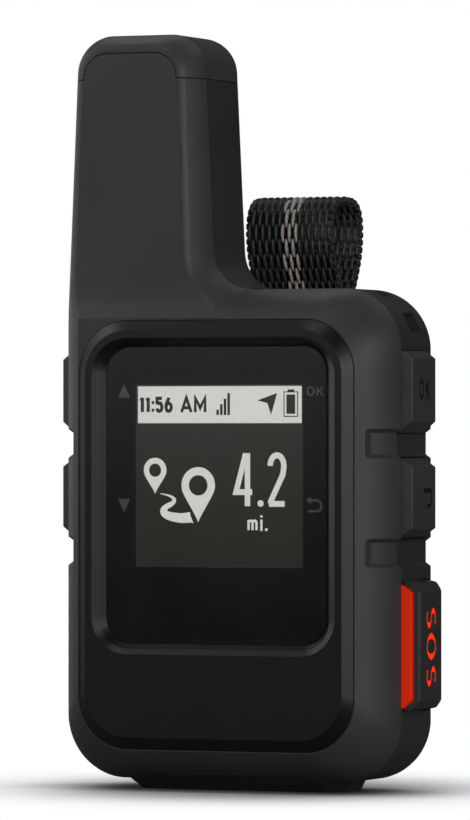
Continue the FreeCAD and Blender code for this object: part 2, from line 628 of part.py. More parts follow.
def usb_port():
    """The metal shell of the charging socket, with its tongue."""
    x0, x1 = -21.2, -16.2
    mid = 11.1
    shell = box(x0, x1, mid - 1.45, mid + 1.45, USB_MID - 3.8, USB_MID + 3.8)
    shell = shell.cut(box(x0 - 1, x1 - 0.6, mid - 1.15, mid + 1.15, USB_MID - 3.5, USB_MID + 3.5))
    tongue = box(x0 + 0.6, x1 - 0.4, mid - 0.2, mid + 0.3, USB_MID - 2.7, USB_MID + 2.7)
    return shell.fuse(tongue)


def power_pocket():
    x0, x1 = POWER_X
    d0, d1 = POWER_D
    seat = box(x0 - 0.12, x1 + 0.12, d0 - 0.12, d1 + 0.12, 64.5, 70)
    return seat.fuse(box(2.9, 6.1, 11.1, 14.3, 62, 66))


def power_key():
    x0, x1 = POWER_X
    d0, d1 = POWER_D
    shape = box(x0, x1, d0, d1, 64.95, BODY_TOP - 0.1)
    shape = softened(shape, 0.15, lambda e: e.BoundBox.ZMin > BODY_TOP - 0.2)
    return shape.fuse(box(3.1, 5.9, 11.3, 14.1, 62.7, 64.95)).removeSplitter()


def power_switch():
    body = box(1.5, 7.5, 10.9, 14.5, 61.6, 61.9)
    return body.fuse(box(3.0, 6.0, 11.2, 14.2, 61.9, 62.25)).removeSplitter()


# ---- electronics ----
def main_board():
    shape = prism(pad(-19.2, 19.2, 4.6, 60.6, 3.0), BOARD_D, BOARD_BACK_D)
    for x, z in CASE_SCREWS:
        shape = shape.cut(cylinder(3.0, at(x, 0, z), at(x, 30, z)))
    for x, z in BOARD_SCREWS:
        shape = shape.cut(cylinder(0.7, at(x, 0, z), at(x, 30, z)))
    for half in (1, -1):
        shape = shape.cut(box(*sorted((half * 19.1, half * 30)), 0, 30, 8, 58))
    return shape.cut(box(13.2, 30, 0, 30, 57.2, 70))


def shield_cans():
    """Three pressed cans over the circuits on the board's front."""
    cans = ((-14.5, -1.0, 30.5, 44.0), (1.0, 14.5, 30.5, 44.0), (-14.5, 14.5, 46.0, 53.5))
    return [box(x0, x1, 6.8, BOARD_D, z0, z1) for x0, x1, z0, z1 in cans]


def satellite_modem():
    return prism(pad(-15.7, 15.7, 30.4, 57.6, 0.6), BOARD_BACK_D, 17.6)


def battery():
    return prism(pad(-15.4, 18.6, 10.8, 28.6, 1.2), BOARD_BACK_D + 0.8, 18.7)


def battery_pad():
    return prism(pad(-14.8, 18.0, 11.4, 28.0, 1.2), BOARD_BACK_D, BOARD_BACK_D + 0.8)


def patch_antenna():
    return prism(pad(-4.5, 7.0, 58.2, 61.3, 0.3), 10.2, 18.2)


def antenna_former():
    """The plastic tube inside the stub that carries the satellite antenna's conductors."""
    tube = cylinder(5.4, at(ANTENNA_X, FORMER_D, 63.5), at(ANTENNA_X, FORMER_D, 91.0))
    return tube.cut(cylinder(4.2, at(ANTENNA_X, FORMER_D, 65.0), at(ANTENNA_X, FORMER_D, 92.0)))


def antenna_straps():
    """Four copper straps on the former, a quarter turn apart."""
    straps = []
    for k in range(4):
        strap = box(ANTENNA_X - 0.9, ANTENNA_X + 0.9, 18.3, 18.45, 66.0, 90.0)
        strap.rotate(at(ANTENNA_X, FORMER_D, 0), FreeCAD.Vector(0, 0, 1), 45 + 90 * k)
        straps.append(strap)
    return straps


def antenna_cable():
    """The short coaxial lead from the former's foot to the board."""
    radius, turn_z = 0.55, 59.0
    turn = at(ANTENNA_X, FORMER_D, turn_z)
    upper = cylinder(radius, at(ANTENNA_X, FORMER_D, 63.5), turn)
    lower = cylinder(radius, turn, at(ANTENNA_X, BOARD_BACK_D, turn_z))
    return upper.fuse(lower).fuse(Part.makeSphere(radius, turn)).removeSplitter()


def vent_membrane():
    return cylinder(3.6, at(VENT_X, REAR_FLOOR_D - 0.3, VENT_Z), at(VENT_X, REAR_FLOOR_D, VENT_Z))


def buzzer():
    return cylinder(4.6, at(-7.0, FRONT_FLOOR_D, 13.0), at(-7.0, 6.9, 13.0))


# ---- fasteners ----
def pan_screw(x, z, seat_d, tip_d, shank, head, head_t):
    """A screw put in from the back, with a six-lobe style recess simplified to a hexagon."""
    shape = cylinder(shank, at(x, tip_d, z), at(x, seat_d, z))
    shape = shape.fuse(cylinder(head, at(x, seat_d, z), at(x, seat_d + head_t, z)))
    points = []
    for k in range(7):
        across_x, across_z = math.cos(k * math.pi / 3), math.sin(k * math.pi / 3)
        points.append(at(x + head / 2 * across_x, seat_d + head_t * 0.4, z + head / 2 * across_z))
    socket = Part.Face(Part.makePolygon(points)).extrude(FreeCAD.Vector(0, head_t, 0))
    return shape.cut(socket).removeSplitter()


def case_screws():
    return [pan_screw(x, z, CASE_SEAT_D, FRONT_FLOOR_D + 0.2, 0.7, 1.7, 1.3) for x, z in CASE_SCREWS]


def board_screws():
    return [pan_screw(x, z, BOARD_BACK_D, 5.2, 0.55, 1.3, 0.7) for x, z in BOARD_SCREWS]


# ---- mounting spine, adapter and webbing ----
def spine_insert():
    outer = cylinder(INSERT_R, at(0, SPINE_D - INSERT_L, INSERT_Z), at(0, SPINE_D, INSERT_Z))
    return outer.cut(cylinder(1.25, at(0, SPINE_D - INSERT_L - 1, INSERT_Z), at(0, SPINE_D + 1, INSERT_Z)))


def spine_adapter():
    """The clip that grips the spine's rail and holds the webbing in its throat."""
    z0, z1 = ADAPTER_Z
    low = prism(pad(-11.2, 11.2, z0, z1, 2.0), 21.1, 30.4)
    head = prism(pad(-9.4, 9.4, 50.0, z1, 2.0), 30.4, 35.4)
    shape = low.fuse(head)
    shape = shape.cut(box(-9.15, 9.15, SPINE_D - 2.35, SPINE_D + 0.1, z0 - 1, 56.2))
    shape = shape.cut(box(-6.35, 6.35, 20, SPINE_D - 1, z0 - 1, 56.2))
    shape = shape.cut(box(-6.5, 6.5, *THROAT, BAR_Z - 2.8, z1 + 1))
    shape = shape.cut(cylinder(BAR_R, at(-20, WEB_D, BAR_Z), at(20, WEB_D, BAR_Z)))
    shape = shape.cut(cylinder(1.5, at(0, 20, INSERT_Z), at(0, 40, INSERT_Z)))
    return shape.cut(cylinder(3.2, at(0, ADAPTER_SEAT_D, INSERT_Z), at(0, 40, INSERT_Z))).removeSplitter()


def adapter_screw():
    return pan_screw(0, INSERT_Z, ADAPTER_SEAT_D, SPINE_D - INSERT_L + 0.5, 1.25, 3.0, 1.6)


def webbing_bar():
    return cylinder(BAR_R, at(-9.0, WEB_D, BAR_Z), at(9.0, WEB_D, BAR_Z))


def web_side(offset):
    """The loop's middle line moved out by offset, as (depth, height) points."""
    moved = []
    for i in range(1, len(WEB_LINE) - 1):
        (before_d, before_z), (d, z), (after_d, after_z) = WEB_LINE[i - 1:i + 2]
        run_d, run_z = after_d - before_d, after_z - before_z
        run = math.hypot(run_d, run_z)
        moved.append((WEB_D + d - run_z / run * offset, z + run_d / run * offset))
    return moved


def web_curve(points, closed):
    """A smooth line through (depth, height) points at the loop's left edge."""
    line = Part.BSplineCurve()
    line.interpolate([at(-WEB_W / 2, d, z) for d, z in points], PeriodicFlag=closed)
    return line.toShape()


def webbing_loop():
    """A band of webbing folded round the bar: an open ring above a neck of two layers."""
    half = WEB_W / 2
    width = FreeCAD.Vector(WEB_W, 0, 0)
    feet = [(WEB_D - WEB_T, EYE_Z), (WEB_D + WEB_T, EYE_Z)]
    rim = web_curve(feet[:1] + web_side(WEB_T / 2) + feet[1:], False)
    sill = Part.makeLine(at(-half, *feet[1]), at(-half, *feet[0]))
    shape = Part.Face(Part.Wire([rim, sill])).extrude(width)
    shape = shape.fuse(box(-half, half, WEB_D - WEB_T, WEB_D + WEB_T, BAR_Z, EYE_Z))
    shape = shape.fuse(cylinder(BAR_R + WEB_T, at(-half, WEB_D, BAR_Z), at(half, WEB_D, BAR_Z)))
    hole = web_curve([(WEB_D, EYE_Z + WEB_EYE)] + web_side(-WEB_T / 2)[1:-1], True)
    shape = shape.cut(Part.Face(Part.Wire(hole)).extrude(width))
    return shape.cut(cylinder(BAR_R, at(-20, WEB_D, BAR_Z), at(20, WEB_D, BAR_Z))).removeSplitter()


# ---- build ----
os.makedirs("parts", exist_ok=True)
grooves = [groove_tool(*span) for span in GROOVES]
grooves += [mirrored(tool) for tool in grooves]
front, rear = front_envelope(), rear_envelope()

export("front_housing", front_housing(front))
export("rear_housing", rear_housing(rear))
export("antenna_cap", antenna_cap(front, rear))
export("housing_gasket", gasket_ring(0))
export("base_foot", base_foot())
export("display_bezel", display_bezel())
export("lens_window", lens_window())
export("lens_adhesive", lens_adhesive())
export("display_module", display_module())
export("display_bracket", display_bracket())
export("display_ribbon", display_ribbon())
for name, row in (("ok_key", "upper"), ("back_key", "lower")):
    export(name, side_key(row))
for name, row in (("up_key", "upper"), ("down_key", "lower")):
    export(name, mirrored(side_key(row)))
export("right_key_board", key_board(1))
export("left_key_board", key_board(-1))
export("sos_button", sos_button())
export("sos_cover", sos_cover())
export("sos_hinge_pin", sos_hinge_pin())
export("usb_port", usb_port())
export("usb_cap", usb_cap())
export("power_key", power_key())
export("power_switch", power_switch())
export("main_board", main_board())
export("shield_cans", *shield_cans())
export("satellite_modem", satellite_modem())
export("battery", battery())
export("battery_pad", battery_pad())
export("patch_antenna", patch_antenna())
export("antenna_former", antenna_former())
export("antenna_straps", *antenna_straps())
export("antenna_cable", antenna_cable())
export("vent_membrane", vent_membrane())
export("buzzer", buzzer())
export("case_screws", *case_screws())
export("board_screws", *board_screws())
export("spine_insert", spine_insert())
export("spine_adapter", spine_adapter())
export("adapter_screw", adapter_screw())
export("webbing_bar", webbing_bar())
export("webbing_loop", webbing_loop())
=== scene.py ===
import math

import bpy
import bmesh
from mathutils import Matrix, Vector


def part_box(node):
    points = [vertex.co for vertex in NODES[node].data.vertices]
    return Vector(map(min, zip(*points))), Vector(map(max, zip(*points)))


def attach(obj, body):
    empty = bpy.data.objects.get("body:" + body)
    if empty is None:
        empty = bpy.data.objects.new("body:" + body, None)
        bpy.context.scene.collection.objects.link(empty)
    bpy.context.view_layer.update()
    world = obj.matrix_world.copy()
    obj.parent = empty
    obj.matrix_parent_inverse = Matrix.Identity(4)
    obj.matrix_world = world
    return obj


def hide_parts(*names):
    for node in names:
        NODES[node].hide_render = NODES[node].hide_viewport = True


# A hand-held satellite navigator on a pale floor. The object's lengths are millimetres, turned to metres
# by MM; the camera's and the studio's are metres. Depths are measured back from the front face, as in the
# CAD source.

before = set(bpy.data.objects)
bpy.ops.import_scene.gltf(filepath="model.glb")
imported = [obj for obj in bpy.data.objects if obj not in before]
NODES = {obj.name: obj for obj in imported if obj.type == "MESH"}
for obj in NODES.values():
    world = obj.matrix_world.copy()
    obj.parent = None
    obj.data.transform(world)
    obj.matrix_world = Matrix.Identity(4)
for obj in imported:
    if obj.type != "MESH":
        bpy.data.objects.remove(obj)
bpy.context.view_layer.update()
MM = 0.001
FACE_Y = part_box("display_bezel")[0].y
TINY = 1e-9


def at(x, depth, z):
    """A point in metres from x, depth behind the face, and height in millimetres."""
    return Vector((x * MM, FACE_Y + depth * MM, z * MM))


def new_object(name, data):
    """A new object in the scene."""
    made = bpy.data.objects.new(name, data)
    bpy.context.scene.collection.objects.link(made)
    return made


def aim(thing, place, target):
    """Puts a camera or a lamp at a place and turns it to a target."""
    thing.location = place
    thing.rotation_euler = (target - place).to_track_quat("-Z", "Y").to_euler()


# ---- camera, fitted to the photograph's edges ----
CAMERA_AT = Vector((0.3218, -0.7488, 0.04686))
CAMERA_AIM = Vector((0.002749, -0.01080, 0.0497))
CAMERA_LENS, CAMERA_SENSOR = 272.5, 36.0  # millimetres
CAMERA_NEAR = 0.01


def add_camera():
    data = bpy.data.cameras.new("camera")
    data.lens = CAMERA_LENS
    data.sensor_width = CAMERA_SENSOR
    data.clip_start = CAMERA_NEAR
    camera = new_object("camera", data)
    aim(camera, CAMERA_AT, CAMERA_AIM)
    bpy.context.scene.camera = camera


# ---- node helpers ----
NOISE_LOW, NOISE_HIGH = 0.35, 0.65  # most of a noise texture's values lie between these


def new_material(name):
    """A material and its node tree, emptied."""
    material = bpy.data.materials.new(name)
    material.use_nodes = True
    tree = material.node_tree
    tree.nodes.clear()
    return material, tree


def node(tree, kind, settings=None, **values):
    """A new node; settings are its own properties, and values go to inputs of that name."""
    made = tree.nodes.new(kind)
    for key, value in (settings or {}).items():
        setattr(made, key, value)
    for key, value in values.items():
        made.inputs[key.replace("_", " ")].default_value = value
    return made


def grey(value):
    return (value, value, value, 1.0)


def show(tree, shader, output="ShaderNodeOutputMaterial"):
    """Makes a shader the tree's surface."""
    out = node(tree, output)
    tree.links.new(shader.outputs[0], out.inputs["Surface"])


def object_noise(tree, scale, detail, stretch=(1, 1, 1)):
    """A noise texture in object space; scale is in features per metre."""
    coords = node(tree, "ShaderNodeTexCoord")
    mapping = node(tree, "ShaderNodeMapping")
    mapping.inputs["Scale"].default_value = stretch
    noise = node(tree, "ShaderNodeTexNoise", Scale=scale, Detail=detail)
    tree.links.new(coords.outputs["Object"], mapping.inputs["Vector"])
    tree.links.new(mapping.outputs["Vector"], noise.inputs["Vector"])
    return noise


def ramp(tree, noise, low, high):
    """A noise texture's value spread over low..high."""
    span = {"From_Min": NOISE_LOW, "From_Max": NOISE_HIGH, "To_Min": low, "To_Max": high}
    made = node(tree, "ShaderNodeMapRange", **span)
    tree.links.new(noise.outputs[0], made.inputs["Value"])
    return made


def tint(tree, shader, noise, colour, tones, glow=0.0):
    """Drifts a shader's colour between two tones, as shares of colour; glow makes it shine too."""
    tone = node(tree, "ShaderNodeMixRGB")
    for i, share in enumerate(tones, 1):
        tone.inputs[i].default_value = [c * share for c in colour] + [1]
    tree.links.new(ramp(tree, noise, 0, 1).outputs[0], tone.inputs[0])
    tree.links.new(tone.outputs[0], shader.inputs["Base Color"])
    if glow:
        tree.links.new(tone.outputs[0], shader.inputs["Emission Color"])
        shader.inputs["Emission Strength"].default_value = glow


def roughen(tree, shader, noise, low, high):
    """Drifts a shader's roughness between low and high."""
    tree.links.new(ramp(tree, noise, low, high).outputs[0], shader.inputs["Roughness"])


def emboss(tree, shader, noise, strength, depth, under=None):
    """Raises a noise texture on a shader's surface; under is a node whose normal it starts from."""
    relief = node(tree, "ShaderNodeBump", Strength=strength, Distance=depth * MM)
    tree.links.new(noise.outputs[0], relief.inputs["Height"])
    if under:
        tree.links.new(under.outputs["Normal"], relief.inputs["Normal"])
    tree.links.new(relief.outputs["Normal"], shader.inputs["Normal"])


def camera_split(tree, others, seen):
    """A mix that shows one shader to the camera and the other one to all other rays."""
    path = node(tree, "ShaderNodeLightPath")
    mix = node(tree, "ShaderNodeMixShader")
    tree.links.new(path.outputs["Is Camera Ray"], mix.inputs[0])
    tree.links.new(others.outputs[0], mix.inputs[1])
    tree.links.new(seen.outputs[0], mix.inputs[2])
    return mix


# ---- kinds of material; scales are in features per metre, and depths in millimetres ----
DRIFT_SCALE, METAL_SCALE, MOTTLE_SCALE, STRAND_SCALE, SMEAR_SCALE = 60.0, 900.0, 2500.0, 5000.0, 120.0
COARSE, FINE = 2.0, 4.0  # a noise texture's detail
GRAIN, GRAIN_DEPTH, GRAIN_ROUGH = 0.12, 0.03, 0.05  # moulded grain's size, depth, and spread in roughness
BEVEL_SAMPLES = 4
BRUSHED, BRUSH_STRENGTH, BRUSH_DEPTH = (1, 1, 8), 0.1, 0.02
BRUSH_SMOOTHER, BRUSH_ROUGHER = 0.08, 0.1
PRINT_ROUGH, PRINT_GLOSS, PRINT_TONES = 0.6, 0.08, (0.96, 1.04)
YARN = {"Roughness": 0.40, "Sheen_Weight": 0.10, "Sheen_Roughness": 0.5}
STRANDS, STRAND_STRENGTH, STRAND_DEPTH, STRAND_TONES = (3.0, 1.0, 0.35), 0.5, 0.04, (0.55, 1.35)
WINDOW_TINT = (0.93, 0.935, 0.93, 1)
WINDOW_GLOSS, WINDOW_SLOPE = 0.034, 5.0  # how much it reflects seen square on, and how fast that grows
WINDOW_ROUGH = (0.18, 0.22)


def moulded(name, colour, rough, bump=0.12, vary=0.1, edge=0.1, glow=0.0, gloss=0.5):
    """Moulded plastic or rubber: fine grain, a slight drift in tone, softened edges; glow, where given, is
    painted light: the part shines though it is no lamp.
    """
    material, tree = new_material(name)
    shader = node(tree, "ShaderNodeBsdfPrincipled", Specular_IOR_Level=gloss)
    fine = object_noise(tree, 1.0 / (GRAIN * MM), FINE)
    soft = node(tree, "ShaderNodeBevel", {"samples": BEVEL_SAMPLES}, Radius=edge * MM)
    tint(tree, shader, object_noise(tree, DRIFT_SCALE, COARSE), colour, (1 - vary, 1 + vary), glow)
    roughen(tree, shader, fine, rough - GRAIN_ROUGH, rough + GRAIN_ROUGH)
    emboss(tree, shader, fine, bump, GRAIN_DEPTH, soft)
    show(tree, shader)
    return material


def metal(name, colour, rough):
    """Bare metal with fine brush lines."""
    material, tree = new_material(name)
    shader = node(tree, "ShaderNodeBsdfPrincipled", Base_Color=(*colour, 1), Metallic=1.0)
    lines = object_noise(tree, METAL_SCALE, FINE, BRUSHED)
    roughen(tree, shader, lines, rough - BRUSH_SMOOTHER, rough + BRUSH_ROUGHER)
    emboss(tree, shader, lines, BRUSH_STRENGTH, BRUSH_DEPTH)
    show(tree, shader)
    return material


def printed(name, colour, glow=0.0):
    """A flat print or a lit area of the screen, with a faint mottle."""
    material, tree = new_material(name)
    shader = node(tree, "ShaderNodeBsdfPrincipled", Roughness=PRINT_ROUGH, Specular_IOR_Level=PRINT_GLOSS)
    tint(tree, shader, object_noise(tree, MOTTLE_SCALE, COARSE), colour, PRINT_TONES, glow)
    show(tree, shader)
    return material


def woven(name, colour):
    """Filament yarn: fine strands in the bump and the tone, and a sheen."""
    material, tree = new_material(name)
    shader = node(tree, "ShaderNodeBsdfPrincipled", **YARN)
    strands = object_noise(tree, STRAND_SCALE, COARSE, STRANDS)
    tint(tree, shader, strands, colour, STRAND_TONES)
    emboss(tree, shader, strands, STRAND_STRENGTH, STRAND_DEPTH)
    show(tree, shader)
    return material


def clear_window(name):
    """The hard-coated window: clear straight through, with a faint reflection."""
    material, tree = new_material(name)
    clear = node(tree, "ShaderNodeBsdfTransparent", Color=WINDOW_TINT)
    gloss = node(tree, "ShaderNodeBsdfGlossy", Color=grey(1.0))
    roughen(tree, gloss, object_noise(tree, SMEAR_SCALE, COARSE), *WINDOW_ROUGH)
    # both faces of the window reflect alike, so the gloss follows the slope and not the side
    slope = node(tree, "ShaderNodeLayerWeight", Blend=0.5)
    rise = node(tree, "ShaderNodeMath", {"operation": "POWER"})
    rise.inputs[1].default_value = WINDOW_SLOPE
    share = node(tree, "ShaderNodeMath", {"operation": "MULTIPLY_ADD"})
    share.inputs[1].default_value = 1.0 - WINDOW_GLOSS
    share.inputs[2].default_value = WINDOW_GLOSS
    tree.links.new(slope.outputs["Facing"], rise.inputs[0])
    tree.links.new(rise.outputs[0], share.inputs[0])
    mix = node(tree, "ShaderNodeMixShader")
    tree.links.new(share.outputs[0], mix.inputs[0])
    tree.links.new(clear.outputs[0], mix.inputs[1])
    tree.links.new(gloss.outputs[0], mix.inputs[2])
    show(tree, mix)
    return material


MATERIALS = {
    # the CAD's own slots
    "soft_grey": moulded("soft_grey", (0.060, 0.060, 0.0605), 0.47, edge=0.15),
    "dark_shell": moulded("dark_shell", (0.040, 0.040, 0.0405), 0.49, edge=0.15),
    "front_black": moulded("front_black", (0.005, 0.005, 0.0052), 0.35, edge=0.08, bump=0.05),
    "window": clear_window("window"),
    "black_adhesive": printed("black_adhesive", (0.004, 0.004, 0.004)),
    "screen": printed("screen", (0.022, 0.021, 0.017), glow=0.3),
    "key_rubber": moulded("key_rubber", (0.060, 0.060, 0.0605), 0.48, edge=0.12),
    # the button's glow is painted light: the red shines though it is no lamp
    "signal_red": moulded(
        "signal_red", (0.80, 0.026, 0.003), 0.42, edge=0.15, vary=0.04, glow=0.34, gloss=0.2),
    "seal_rubber": moulded("seal_rubber", (0.014, 0.014, 0.014), 0.68),
    "board": moulded("board", (0.010, 0.045, 0.020), 0.45),
    "copper_film": metal("copper_film", (0.75, 0.36, 0.18), 0.35),
    "steel": metal("steel", (0.45, 0.44, 0.42), 0.30),
    "brass": metal("brass", (0.70, 0.50, 0.20), 0.30),
    "cell_foil": metal("cell_foil", (0.55, 0.55, 0.56), 0.40),
    "ceramic": moulded("ceramic", (0.42, 0.38, 0.32), 0.50),
    "inner_plastic": moulded("inner_plastic", (0.035, 0.035, 0.036), 0.60),
    # finer looks, used only here
    "screen_light": printed("screen_light", (0.60, 0.615, 0.575), glow=0.86),
    "screen_dark": printed("screen_dark", (0.0125, 0.0118, 0.0085), glow=0.7),
    "faint_print": printed("faint_print", (0.17, 0.155, 0.145)),
    "mark_black": moulded("mark_black", (0.003, 0.003, 0.003), 0.7),
    # the letters' glow is painted light: the red fill shines though it is no lamp
    "letter_red_painted_glow": moulded("letter_red_painted_glow", (0.85, 0.035, 0.006), 0.45, vary=0.04, glow=0.90, gloss=0.2),
    "guard_rubber": moulded("guard_rubber", (0.046, 0.046, 0.0465), 0.50, edge=0.15),
    "web_edge": woven("web_edge", (0.016, 0.017, 0.018)),
    # near black: the weft's own dark tone, with painted shade in the gaps between the floats
    "web_ground": woven("web_ground", (0.0015, 0.0015, 0.0015)),
    "web_dark": woven("web_dark", (0.050, 0.056, 0.060)),
    "web_pale": woven("web_pale", (0.60, 0.54, 0.50)),
}


def dress_nodes():
    """Gives every CAD node the look of its slot, and the guard its own rubber."""
    for cad in NODES.values():
        slot_name = cad.data.materials[0].name.split(".")[0]
        if slot_name in MATERIALS:
            cad.data.materials[0] = MATERIALS[slot_name]
    NODES["sos_cover"].data.materials[0] = MATERIALS["guard_rubber"]


# ---- flat shapes: every glyph is a set of strips and polygons in a plane ----
BLUNTEST = 0.35  # a mitre reaches out no further than this cosine of half its turn allows
STROKE_LIFT = 0.002  # each stroke of a glyph lies this much higher, so that crossings don't share a plane


def arc(cx, cy, rx, ry, start, end, steps):
    """Points on an ellipse between two angles in degrees."""
    points = []
    for i in range(steps + 1):
        turn = math.radians(start + (end - start) * i / steps)
        points.append((cx + rx * math.cos(turn), cy + ry * math.sin(turn)))
    return points


def corners(x0, y0, x1, y1):
    """A rectangle's corners from two opposite ones."""
    return [(x0, y0), (x1, y0), (x1, y1), (x0, y1)]


def spline(points, steps):
    """A smooth line through points of any size, with that many steps between two points."""
    out = []
    last = len(points) - 1
    for i in range(last):
        p0, p1, p2, p3 = points[max(i - 1, 0)], points[i], points[i + 1], points[min(i + 2, last)]
        square = 2 * p0 - 5 * p1 + 4 * p2 - p3
        cube = 3 * p1 - p0 - 3 * p2 + p3
        for k in range(steps):
            t = k / steps
            out.append(0.5 * ((2 * p1) + (p2 - p0) * t + square * t * t + cube * t ** 3))
    out.append(points[-1].copy())
    return out


def rails(points, width, closed):
    """The two sides of a stroke of even width, mitred at its bends."""
    left, right = [], []
    count = len(points)
    for i, here in enumerate(points):
        before = points[i - 1] if closed or i > 0 else None
        after = points[(i + 1) % count] if closed or i < count - 1 else None
        runs = []
        for a, b in ((before, here), (here, after)):
            if a is not None and b is not None:
                run = Vector((b[0] - a[0], b[1] - a[1]))
                if run.length > TINY:
                    runs.append(run.normalized())
        normals = [Vector((-r.y, r.x)) for r in runs]
        mean = sum(normals, Vector((0, 0))).normalized()
        reach = width / 2 / max(mean.dot(normals[0]), BLUNTEST)
        left.append((here[0] + mean.x * reach, here[1] + mean.y * reach))
        right.append((here[0] - mean.x * reach, here[1] - mean.y * reach))
    return left, right


class Slab:
    """Flat shapes with a little thickness, placed on a surface by place(u, v, height)."""

    def __init__(self, place, low, high):
        self.bm = bmesh.new()
        self.place, self.low, self.high = place, low, high
        self.lift = 0.0

    def layer(self, points, height):
        return [self.bm.verts.new(self.place(u, v, height + self.lift)) for u, v in points]

    def strip(self, left, right, closed=False):
        """A band between two lines of equally many points."""
        rows = [self.layer(side, h) for side in (left, right) for h in (self.low, self.high)]
        left_low, left_high, right_low, right_high = rows
        count = len(left)
        for i in range(count if closed else count - 1):
            j = (i + 1) % count
            self.bm.faces.new((left_high[i], left_high[j], right_high[j], right_high[i]))
            self.bm.faces.new((left_low[i], right_low[i], right_low[j], left_low[j]))
            self.bm.faces.new((left_low[i], left_low[j], left_high[j], left_high[i]))
            self.bm.faces.new((right_low[i], right_high[i], right_high[j], right_low[j]))
        if not closed:
            self.bm.faces.new((left_low[0], left_high[0], right_high[0], right_low[0]))
            self.bm.faces.new((left_low[-1], right_low[-1], right_high[-1], left_high[-1]))

    def stroke(self, points, width, closed=False):
        self.strip(*rails(points, width, closed), closed)

    def polygon(self, points):
        low, high = self.layer(points, self.low), self.layer(points, self.high)
        self.bm.faces.new(high)
        self.bm.faces.new(list(reversed(low)))
        for i in range(len(points)):
            j = (i + 1) % len(points)
            self.bm.faces.new((low[i], low[j], high[j], high[i]))

    def write(self, glyph, x, y, width, height, stroke):
        """One glyph in a box of that width and height whose lower left corner is (x, y)."""
        inner_w, inner_h = width - stroke, height - stroke
        for i, (points, closed) in enumerate(GLYPHS[glyph]):
            self.lift = STROKE_LIFT * i
            placed = [(x + stroke / 2 + u * inner_w, y + stroke / 2 + v * inner_h) for u, v in points]
            self.stroke(placed, stroke, closed)
        self.lift = 0.0

    def finish(self, name, material, body, slot_name):
        """The piece, riding on a body; a hidden cutter has no material, and slot_name is not used."""
        bmesh.ops.recalc_face_normals(self.bm, faces=self.bm.faces)
        mesh = bpy.data.meshes.new(name)
        self.bm.to_mesh(mesh)
        self.bm.free()
        made = new_object(name, mesh)
        if material:
            mesh.materials.append(material)
        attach(made, body)
        return made


# centre lines in a unit box; each is (points, closed)
GLYPHS = {
    "1": [([(0.0, 0.80), (0.75, 1.0)], False), ([(0.75, 1.06), (0.75, -0.06)], False)],
    "2": [
        (arc(0.5, 0.78, 0.5, 0.22, 180, -12, 14) + [(0.92, 0.60), (0.06, 0.06), (0.0, 0.0)], False),
        ([(-0.08, 0.0), (1.06, 0.0)], False),
    ],
    "4": [([(0.66, 1.04), (0.0, 0.24), (1.10, 0.24)], False), ([(0.78, 1.05), (0.78, -0.05)], False)],
    "5": [
        ([(1.0, 1.0), (0.08, 1.0), (0.04, 0.55)], False),
        ([(0.04, 0.55)] + arc(0.5, 0.32, 0.5, 0.32, 112, -160, 16), False),
    ],
    "6": [
        (arc(0.5, 0.31, 0.5, 0.31, 0, 360, 18)[:-1], True),
        ([(0.0, 0.33), (0.06, 0.56), (0.56, 1.05)], False),
    ],
    "A": [([(-0.02, -0.06), (0.5, 1.03), (1.02, -0.06)], False), ([(0.16, 0.27), (0.84, 0.27)], False)],
    "M": [([(0.0, -0.06), (0.0, 1.0), (0.5, 0.25), (1.0, 1.0), (1.0, -0.06)], False)],
    "O": [(arc(0.5, 0.5, 0.5, 0.5, 0, 360, 28)[:-1], True)],
    "K": [
        ([(0.0, 1.06), (0.0, -0.06)], False),
        ([(1.0, 1.04), (0.06, 0.42)], False),
        ([(0.34, 0.58), (1.04, -0.06)], False),
    ],
    "S": [
        (arc(0.5, 0.75, 0.48, 0.25, 20, 268, 16) + arc(0.5, 0.25, 0.5, 0.25, 88, -160, 16), False),
    ],
    "m": [
        ([(0.0, 1.06), (0.0, -0.06)], False),
        ([(0.0, 0.80)] + arc(0.25, 0.78, 0.25, 0.22, 170, 0, 8) + [(0.5, -0.06)], False),
        ([(0.5, 0.80)] + arc(0.75, 0.78, 0.25, 0.22, 170, 0, 8) + [(1.0, -0.06)], False),
    ],
}


def back_sign(slab, x, y, size, stroke, tail):
    """A line that turns back, with an arrow head at its upper left end.

    (x, y) is its middle; the stroke's width, the tail's length and the points are shares of its size.
    """
    line = [(-tail, -0.62), (0.25, -0.62)] + arc(0.25, -0.02, 0.58, 0.60, -90, 90, 12)[1:] + [(-0.42, 0.58)]
    head = [(-0.40, 1.02), (-0.98, 0.58), (-0.40, 0.12)]
    slab.stroke([(x + u * size, y + v * size) for u, v in line], stroke * size)
    slab.polygon([(x + u * size, y + v * size) for u, v in head])


# ---- screen ----
SCREEN_D = 2.45  # the screen's face
SCREEN_HALF, SCREEN_LOW, SCREEN_HIGH = 11.6, 29.5, 52.81
BAR_LOW, BAR_GAP = 48.0, 0.005  # the status bar's lower edge, and the gap below it
AREA_LIFT, SIGN_LIFT, PRINT = 0.002, 0.012, 0.008  # areas and signs off the face, and their thickness

# the time on the status bar: each glyph with its width and the step to the next one
TIME = (("1", 0.76, 0.84), ("1", 0.76, 0.94), (":", 0.36, 0.50), ("5", 1.20, 1.33), ("6", 1.20, 1.20))
TIME_LEFT, TIME_STROKE = -11.42, 0.46
TEXT_LOW, TEXT_TALL = 49.33, 2.14
COLON_DOT, COLON_RISES = (0.36, 0.40), (0.16, 1.16)
HALF_DAY = (("A", -5.55, 1.72, 0.40), ("M", -3.62, 1.80, 0.42))  # glyph, left side, width, stroke

# the signs on its right
SIGNAL_BARS, SIGNAL_LEFT, SIGNAL_STEP, SIGNAL_WIDE = 4, -0.42, 0.52, 0.36
SIGNAL_LOW, SIGNAL_TOP, SIGNAL_RISE = 49.05, 49.75, 0.72
POINTER = [(5.375, 50.95), (6.79, 50.59), (7.30, 49.07), (8.147, 51.89)]
BATTERY_CASE, BATTERY_STROKE = corners(9.12, 48.87, 11.02, 52.04), 0.13
BATTERY_CAP = corners(9.62, 52.1, 10.55, 52.36)
BATTERY_CHARGE = corners(9.46, 49.2, 10.68, 51.7)

